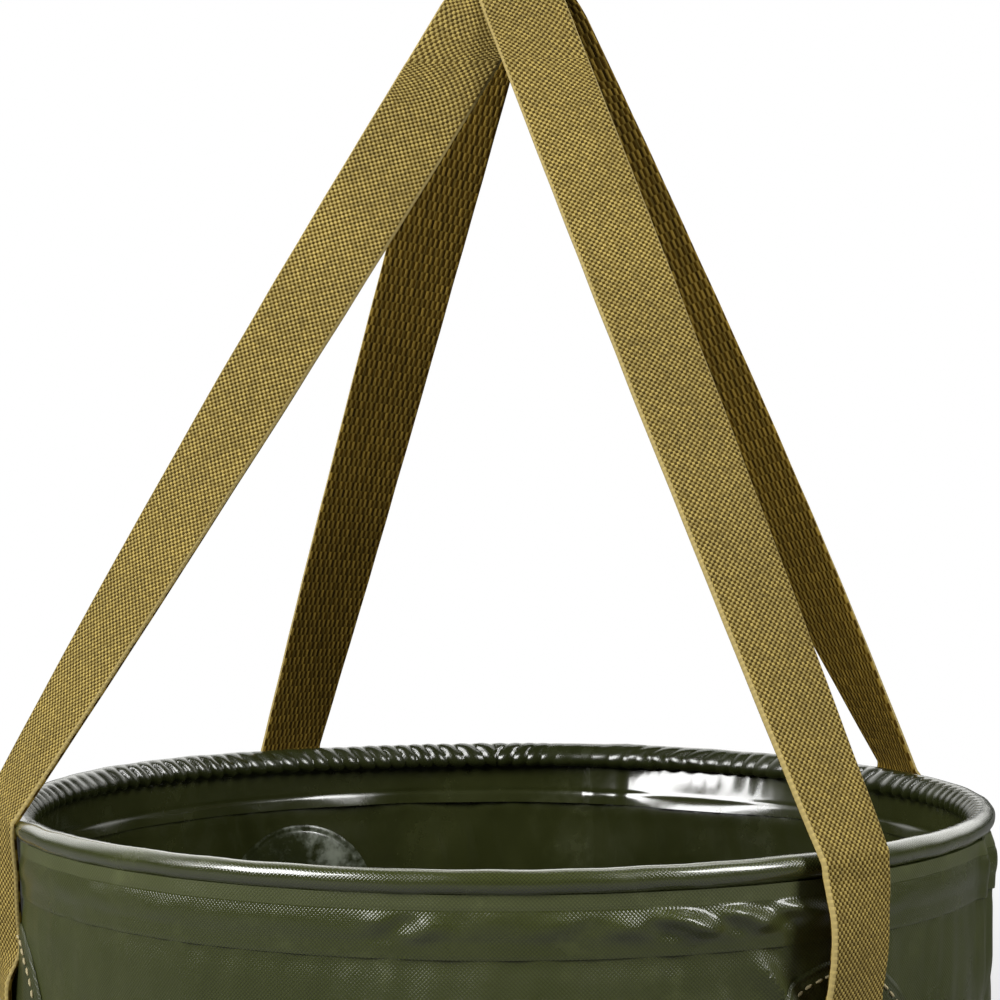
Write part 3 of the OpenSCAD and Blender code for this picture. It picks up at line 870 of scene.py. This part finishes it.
def alongRim(angle):
    # along the rim, always towards +X
    v = Vector((cos(angle), sin(angle), 0))
    return v if v.x > 0 else -v


def rimPoint(end):
    return outward(end["angle"]) * (hoopRadius + wrapRadius) + Vector((0, 0, hoopZ))


def sideOf(end):
    return -1 if outward(end["angle"]).y < 0 else 1


def leaveAngle(end, radius):
    p = rimPoint(end)
    return atan2(abs(p.y), p.z - crownZ) - acos(radius / hypot(p.y, p.z - crownZ))


def drift(sling):
    f, b = rimPoint(slingEnds[sling["front"]]), rimPoint(slingEnds[sling["back"]])
    return (b.x - f.x) / (hypot(f.y, f.z - crownZ) + hypot(b.y, b.z - crownZ))


def crownStation(sling, t):
    slope, r = drift(sling), sling["radius"]
    centre = Vector((sling["topX"] + slope * r * t, r * sin(t), crownZ + r * cos(t)))
    out = Vector((0, sin(t), cos(t)))
    along = Vector((slope, cos(t), -sin(t))).normalized()
    return centre, along.cross(out).normalized(), out


def squareTo(v, run):
    return (v - run * v.dot(run)).normalized()


def station(centre, lateral, run, towards):
    # a strap's station: its middle, the direction across it and the one that its face looks in
    facing = lateral.cross(run)
    return centre, lateral, facing if facing.dot(towards) > 0 else -facing


def legStations(sling, end):
    # from the cut below the crown, straight to the rim, then over the roll to its outer side
    side = sideOf(end)
    leave = side * leaveAngle(end, sling["radius"])
    top, across, _ = crownStation(sling, leave)
    out = outward(end["angle"])
    rim = out * (hoopRadius + wrapRadius + end["standOff"] * mm)
    lean = atan2(rim.length - top.dot(out), top.z - hoopZ)
    wrap = wrapRadius + end["standOff"] * mm
    foot = out * (hoopRadius + wrap * cos(lean)) + Vector((0, 0, hoopZ + wrap * sin(lean)))
    down = (foot - top).normalized()
    start, goal = squareTo(across, down), squareTo(alongRim(end["angle"]), down)
    full = atan2(start.cross(goal).dot(down), start.dot(goal))
    first = (top.z - cutZ) / (top.z - foot.z)
    count = int((foot - top).length * (1 - first) / webbing["step"])
    stations = []
    for i in range(count + 1):
        k = first + (1 - first) * i / count
        centre = top.lerp(foot, k) + out * (end["bow"] * mm * sin(pi * (k - first) / (1 - first)))
        spun = full * end["twist"] * k ** 1.34
        lateral = start * cos(spun) + down.cross(start) * sin(spun)
        stations.append(station(centre, lateral, down, out + Vector((0, 0, 0.6))))
    lastAcross = stations[-1][1]
    heading = turnedAcross(end, end["turn"])
    for i in range(1, 9):
        k = i / 8
        lift = lean * (1 - k)
        centre = out * (hoopRadius + wrap * cos(lift)) + Vector((0, 0, hoopZ + wrap * sin(lift)))
        lateral = lastAcross.lerp(heading, smooth01(k)).normalized()
        run = (out * sin(lift) - Vector((0, 0, cos(lift)))).normalized()
        stations.append(station(centre, squareTo(lateral, run), run, out))
    return stations


def smooth01(k):
    return k * k * (3 - 2 * k)


def turnedAcross(end, degrees):
    flat = alongRim(end["angle"])
    a = radians(degrees)
    return Vector((flat.x * cos(a) - flat.y * sin(a), flat.x * sin(a) + flat.y * cos(a), 0))


def tailStations(end):
    # from the roll's outer side down to the seam on the patch
    out = outward(end["angle"])
    rimFace = hoopRadius + wrapRadius + end["standOff"] * mm
    skin = patchFace(end["angle"], patchZ, 0.1)
    flatFace = max(skin, wallRadius + 0.9 * mm) + webbing["thickness"] / 2 + 0.1 * mm
    seamTop = patchZ + 9 * mm
    centres, laterals = [], []
    count = int((hoopZ - tailEnd) / webbing["step"])
    for i in range(count + 1):
        z = hoopZ + (tailEnd - hoopZ) * i / count
        k = np.clip((hoopZ - z) / (hoopZ - seamTop), 0, 1)
        r = rimFace + (flatFace - rimFace) * smooth01(k) + end["slack"] * mm * sin(pi * k) ** 1.2
        fade = smooth01(min(1, k / 0.35))
        turn = end["turn"] + (end["tailTurn"] - end["turn"]) * fade
        turn *= 1 - smooth01(np.clip((k - 0.74) / 0.26, 0, 1))
        centres.append(out * r + Vector((0, 0, z)))
        laterals.append(turnedAcross(end, turn))
    stations = []
    for i, (centre, lateral) in enumerate(zip(centres, laterals)):
        run = (centres[min(count, i + 1)] - centres[max(0, i - 1)]).normalized()
        stations.append(station(centre, squareTo(lateral, run), run, out))
    return stations


def bandSection():
    # round the strap's edge once: flat faces with thicker, rounded selvedges
    half, thick, edge = webbing["width"] / 2, webbing["thickness"] / 2, webbing["edge"]
    xs = np.linspace(-half + edge, half - edge, 15)
    bead = 1.0 + 0.10 * bell(np.abs(xs) - half + edge, 1.2 * mm)
    top = np.stack([xs, thick * bead], -1)
    bend = np.linspace(pi / 2, -pi / 2, 7)[1:-1]
    right = np.stack([half - edge + edge * np.cos(bend), thick * 1.1 * np.sin(bend)], -1)
    bottom = np.stack([xs[::-1], -thick * bead[::-1]], -1)
    left = np.stack([-half + edge - edge * np.cos(bend), -thick * 1.1 * np.sin(bend)], -1)
    return np.concatenate([top, right, bottom, left]), len(top) + len(right) - 3


def levelCut(points, centres, atStart, count):
    # trims an end to the height where leg and crown part, so that both follow the joint there
    order = range(count) if atStart else range(len(points) - 1, len(points) - 1 - count, -1)
    end, beside = (0, 1) if atStart else (-1, -2)
    run = centres[beside] - centres[end]
    shift = (cutZ - points[end][:, 2]) / run[2]
    for step, row in enumerate(order):
        points[row] += run * (shift * (1 - step / count))[:, None]


def strapPiece(name, stations, startMm, body, node, seed, levelStart=0, levelEnd=0):
    section, underFrom = bandSection()
    centres = np.array([s[0] for s in stations])
    across = np.array([s[1] for s in stations])
    facing = np.array([s[2] for s in stations])
    steps = np.linalg.norm(np.diff(centres, axis=0), axis=1)
    run = np.concatenate([[0], np.cumsum(steps)])
    # the selvedges wander a little, and the face is slightly cupped
    sway = 0.05 * mm * ripple(run * 40, 0, seed, (1, 6), (0, 1))
    x, y = section[:, 0], section[:, 1]
    cup = 0.35 * mm * (1 - (x / (webbing["width"] / 2)) ** 2)
    points = centres[:, None] + across[:, None] * (x[None, :, None] * (1 + sway[:, None, None] / (12 * mm)))
    points = points + facing[:, None] * (y + cup)[None, :, None]
    if levelStart:
        levelCut(points, centres, True, levelStart)
    if levelEnd:
        levelCut(points, centres, False, levelEnd)
    vAcross = np.concatenate([(x + webbing["width"] / 2) * 1000, [(x[0] + webbing["width"] / 2) * 1000]])
    uAlong = startMm + run * 1000
    rowSlots = [1 if underFrom <= k < underFrom + 19 else 0 for k in range(len(section))]
    piece = gridPiece(name, points, uAlong, vAcross, closedV=True, rowSlots=rowSlots, capEnds=True, sharp=60)
    # the weave group wants across first, then along
    layer = piece.data.uv_layers["cloth"]
    uv = np.zeros(len(piece.data.loops) * 2)
    layer.data.foreach_get("uv", uv)
    layer.data.foreach_set("uv", uv.reshape(-1, 2)[:, ::-1].reshape(-1))
    return finishPiece(piece, body, [node], [webbingFace, shadedWebbingUnder]), float(run[-1])


for slingName, sling in slings.items():
    front, back = slingEnds[sling["front"]], slingEnds[sling["back"]]
    frontLeg, backLeg = legStations(sling, front), legStations(sling, back)
    arcs = np.linspace(-leaveAngle(front, sling["radius"]), leaveAngle(back, sling["radius"]), 30)
    bend = [frontLeg[0]] + [crownStation(sling, t) for t in arcs] + [backLeg[0]]
    _, crownLength = strapPiece("crown." + slingName, bend, 0.0, "crown", sling["node"], 91,
                                levelStart=1, levelEnd=1)
    for label, leg, seed in ((sling["front"], frontLeg, 92), (sling["back"], backLeg, 93)):
        end = slingEnds[label]
        piece, length = strapPiece("leg." + label, leg, crownLength * 1000, "rim", "leg_" + end["node"],
                                   seed, levelStart=12)
        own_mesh(piece)
        end["tail"] = tailStations(end)
        tailStart = (crownLength + length) * 1000
        strapPiece("tail." + label, end["tail"], tailStart, "rim", "tail_" + end["node"], seed + 4)
        print("sling end", label, "leg", round(length, 4), "crown", round(crownLength, 4))


seamLook = {
    "halfWidth": 9.2 * mm, "halfHeight": 10.5 * mm, "crownHalfWidth": 8 * mm, "crownHalfHeight": 7.2 * mm,
    "pitch": 2.9 * mm, "proud": 0.42 * mm,
}
upright = Vector((0, 0, 1))


def boxSeam(centre, across, upwards, out, halfWidth, halfHeight):
    corners = [(-1, -1), (1, -1), (1, 1), (-1, 1)]
    runs = [(corners[i], corners[(i + 1) % 4]) for i in range(4)]
    runs += [(corners[0], corners[2]), (corners[1], corners[3])]
    found = []
    for a, b in runs:
        start = centre + across * a[0] * halfWidth + upwards * a[1] * halfHeight
        finish = centre + across * b[0] * halfWidth + upwards * b[1] * halfHeight
        count = max(2, round((finish - start).length / seamLook["pitch"]))
        for i in range(count):
            found.append((start.lerp(finish, (i + 0.5) / count), finish - start, out))
    return found


seam = []
for label, end in slingEnds.items():
    out = outward(end["angle"])
    flatCentre = end["tail"][-1][0]
    r = flatCentre.dot(out) + webbing["thickness"] / 2 + seamLook["proud"]
    centre = out * r + Vector((0, 0, tailEnd + 14 * mm))
    across = alongRim(end["angle"])
    seam += boxSeam(centre, across, upright, out, seamLook["halfWidth"], seamLook["halfHeight"])
stitchPiece("tailStitches", *zip(*seam), "rim", ["tail_stitches"], length=2.3 * mm, radius=0.36 * mm)

over = slings["over"]
crownFace = over["radius"] + webbing["thickness"] / 2 + seamLook["proud"]


def laidOver(p):
    # bends a flat point round the crown
    t = p.y / crownFace
    return Vector((over["topX"] + p.x + drift(over) * p.y, crownFace * sin(t), crownZ + crownFace * cos(t)))


flatSeam = boxSeam(Vector((0, 0, 0)), Vector((1, 0, 0)), Vector((0, 1, 0)), upright,
                   seamLook["crownHalfWidth"], seamLook["crownHalfHeight"])
seam = []
for flat, direction, _ in flatSeam:
    centre = laidOver(flat)
    t = flat.y / crownFace
    seam.append((centre, laidOver(flat + direction * 0.05) - centre, Vector((0, sin(t), cos(t)))))
stitchPiece("crownStitches", *zip(*seam), "crown", ["crown_stitches"], length=2.2 * mm, radius=0.36 * mm)
print("slings ready")


baseLook = {"discThickness": 1.0, "linerThickness": 0.8}


def discPiece(name, radiusAt, lowZ, thick, upperShape, node, material, columns=256):
    spin = np.linspace(0, 2 * pi, columns, endpoint=False)[:, None]
    reach = np.concatenate([np.linspace(0, 0.88, 34), np.linspace(0.89, 1.0, 20)])[None, :]
    r = radiusAt * reach
    rounded = smoothStep(1.0, 0.985, reach)
    top = place(spin, r, lowZ + thick * (0.25 + 0.75 * rounded) + upperShape(spin, reach))
    bottom = place(spin, r * 0.999, np.full_like(r * spin, lowZ))
    points = np.concatenate([top, bottom[:, ::-1]], 1)
    uAxis = np.linspace(0, 2 * pi * radiusAt * 1000, columns + 1)
    v = reach[0] * radiusAt * 1000
    vAxis = np.concatenate([v, 2 * v[-1] - v[::-1] + 1])
    piece = gridPiece(name, points, uAxis, vAxis, closedU=True, weld=True)
    corners = np.array([piece.data.vertices[l.vertex_index].co for l in piece.data.loops])
    piece.data.uv_layers["cloth"].data.foreach_set("uv", (corners[:, :2] * 1000).reshape(-1))
    return finishPiece(piece, "base", [node], [material])


def linerShape(spin, reach):
    ring = -0.35 * mm * bell((1 - reach) * 144 - 6, 0.9)
    creased = 0.22 * mm * ripple(spin, reach * 3, 111, (3, 15), (1, 9))
    creased = creased * smoothStep(0.15, 0.5, reach) * smoothStep(1.0, 0.9, reach)
    gathers = 0.25 * mm * ripple(spin, reach, 113, (40, 80), (0, 2))
    gathers = gathers * smoothStep(0.86, 0.97, reach) * smoothStep(1.0, 0.99, reach)
    return ring + creased + gathers


linerLow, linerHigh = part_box("base_liner")
discPiece("baseLiner", linerHigh.x - 0.3 * mm, linerLow.z + 0.05 * mm, baseLook["linerThickness"] * mm,
          linerShape, "base_liner", shadedInnerCloth)
discPiece("baseDisc", footRadius - 0.2 * mm, 0.0, baseLook["discThickness"] * mm - 0.1 * mm,
          lambda spin, reach: 0 * spin * reach, "base_disc", outerCloth)

bandLow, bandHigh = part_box("base_band")


def footOuter(a, z):
    up = (z - bandLow.z) * 1000
    span = (bandHigh.z - bandLow.z) * 1000
    lines = bell(up - 2.6, 0.6) + bell(up - span + 2.6, 0.6)
    edge = 0.45 * mm * (bell(up, 0.7) + bell(up - span, 0.7))
    skin = footRadius + 0.95 * mm + 0.12 * mm * ripple(a, z, 121, (20, 70), (20, 200))
    return skin - 0.3 * mm * lines - edge


footBand = shellRound("footBand", np.linspace(bandLow.z, bandHigh.z, 24), footOuter,
                      lambda a, z: footOuter(a, z) - footRadius - 0.25 * mm, slots=(0, 0))
finishPiece(footBand, "base", ["base_band"], [footCloth])
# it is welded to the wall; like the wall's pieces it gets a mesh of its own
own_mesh(footBand)

for node, material in (("base_board", boardPlastic), ("rim_hoop", wireSteel), ("hoop_sleeve", sleeveMetal)):
    mesh = frame["nodes"][node].data
    mesh.materials.clear()
    mesh.materials.append(material)
print("base ready")


studio = {
    "left": {"azimuth": -56, "elevation": 33, "distance": 1.7, "size": (0.75, 0.85), "watts": 37},
    "right": {"azimuth": 57, "elevation": 35, "distance": 1.8, "size": (0.45, 0.85), "watts": 25},
    "rear": {"azimuth": 165, "elevation": 60, "distance": 2.0, "size": (1.4, 0.5), "watts": 8},
}
surround = {"ambient": 0.04, "front": 0.02, "behind": 2.0}


def aimAlong(holder, direction):
    holder.rotation_mode = "QUATERNION"
    holder.rotation_quaternion = direction.to_track_quat("-Z", "Y")


def softLight(name, azimuth, elevation, distance, size, watts):
    aim = Vector((0, 0, hoopZ))
    a, e = radians(azimuth), radians(elevation)
    at = aim + Vector((sin(a) * cos(e), -cos(a) * cos(e), sin(e))) * distance
    lamp = bpy.data.lights.new(name, "AREA")
    lamp.shape = "RECTANGLE"
    lamp.size, lamp.size_y = size
    lamp.energy = watts
    holder = addObject(name, lamp)
    holder.location = at
    aimAlong(holder, aim - at)


for name, look in studio.items():
    softLight(name + "Light", **look)

world = bpy.data.worlds.new("studioWorld")
bpy.context.scene.world = world
world.use_nodes = True
sky = world.node_tree
seenByCamera = sky.nodes.new("ShaderNodeLightPath")
plain = sky.nodes["Background"]
plain.inputs["Color"].default_value = (1.0, 1.0, 0.97, 1)
# shiny cloth sees a bright backdrop behind the bag and a dark room in front of it
direction = sky.nodes.new("ShaderNodeTexCoord")
axes = sky.nodes.new("ShaderNodeSeparateXYZ")
sky.links.new(direction.outputs["Generated"], axes.inputs[0])
aboveFloor = rangeOf(sky, axes.outputs[2], 0.05, 0.35)
belowTop = rangeOf(sky, axes.outputs[2], 0.6, 0.85, 1.0, 0.0)
towardsBack = rangeOf(sky, axes.outputs[1], 0.1, 0.6, surround["front"], surround["behind"])
mirrored = times(sky, towardsBack, times(sky, aboveFloor, belowTop))
strength = sky.nodes.new("ShaderNodeMix")
sky.links.new(seenByCamera.outputs["Is Glossy Ray"], strength.inputs["Factor"])
strength.inputs["A"].default_value = surround["ambient"]
sky.links.new(mirrored, strength.inputs["B"])
sky.links.new(strength.outputs["Result"], plain.inputs["Strength"])
white = sky.nodes.new("ShaderNodeBackground")
white.inputs["Color"].default_value = (1, 1, 1, 1)
white.inputs["Strength"].default_value = 1.0
choose = sky.nodes.new("ShaderNodeMixShader")
sky.links.new(seenByCamera.outputs["Is Camera Ray"], choose.inputs[0])
sky.links.new(plain.outputs[0], choose.inputs[1])
sky.links.new(white.outputs[0], choose.inputs[2])
sky.links.new(choose.outputs[0], sky.nodes["World Output"].inputs["Surface"])

floorMesh = bpy.data.meshes.new("floor")
reach, floorZ = 14.0, -0.0004
corners = [(reach * x, reach * y, floorZ) for x, y in ((-1, -1), (1, -1), (1, 1), (-1, 1))]
floorMesh.from_pydata(corners, [], [(0, 1, 2, 3)])
floor = addObject("floor", floorMesh)
floorPaint, floorTree, floorShader, floorCoords = startMaterial("paleFloor")
floorShader.inputs["Roughness"].default_value = 0.7
glow = floorTree.nodes.new("ShaderNodeEmission")
glow.inputs["Color"].default_value = (1, 1, 1, 1)
glow.inputs["Strength"].default_value = 1.0
rays = floorTree.nodes.new("ShaderNodeLightPath")
mixed = floorTree.nodes.new("ShaderNodeMixShader")
# pale to the eye, darker to the light that bounces
paint = blendColours(floorTree, rays.outputs["Is Camera Ray"], (0.22, 0.22, 0.21), (0.82, 0.82, 0.82))
floorTree.links.new(paint, floorShader.inputs["Base Color"])
spread = floorTree.nodes.new("ShaderNodeVectorMath")
spread.operation = "LENGTH"
floorTree.links.new(floorCoords.outputs["Object"], spread.inputs[0])
# shadows show only near the bag
farOff = rangeOf(floorTree, spread.outputs["Value"], 0.3, 2.6, 0.35, 1.0)
floorTree.links.new(times(floorTree, rays.outputs["Is Camera Ray"], farOff), mixed.inputs[0])
floorTree.links.new(floorShader.outputs[0], mixed.inputs[1])
floorTree.links.new(glow.outputs[0], mixed.inputs[2])
floorTree.links.new(mixed.outputs[0], floorTree.nodes["Material Output"].inputs["Surface"])
floorMesh.materials.append(floorPaint)

cameraSet = {"at": (-7.8 * mm, -0.735, 0.4534), "lens": 85.5, "down": 0.23, "right": 0.59}
eye = bpy.data.cameras.new("camera")
eye.lens = cameraSet["lens"]
eye.sensor_width = 36
camera = addObject("camera", eye)
camera.location = cameraSet["at"]
pitch, yaw = radians(cameraSet["down"]), radians(cameraSet["right"])
aimAlong(camera, Vector((sin(yaw) * cos(pitch), cos(yaw) * cos(pitch), -sin(pitch))))
bpy.context.scene.camera = camera
bpy.context.scene.view_settings.view_transform = "Standard"
print("studio ready")
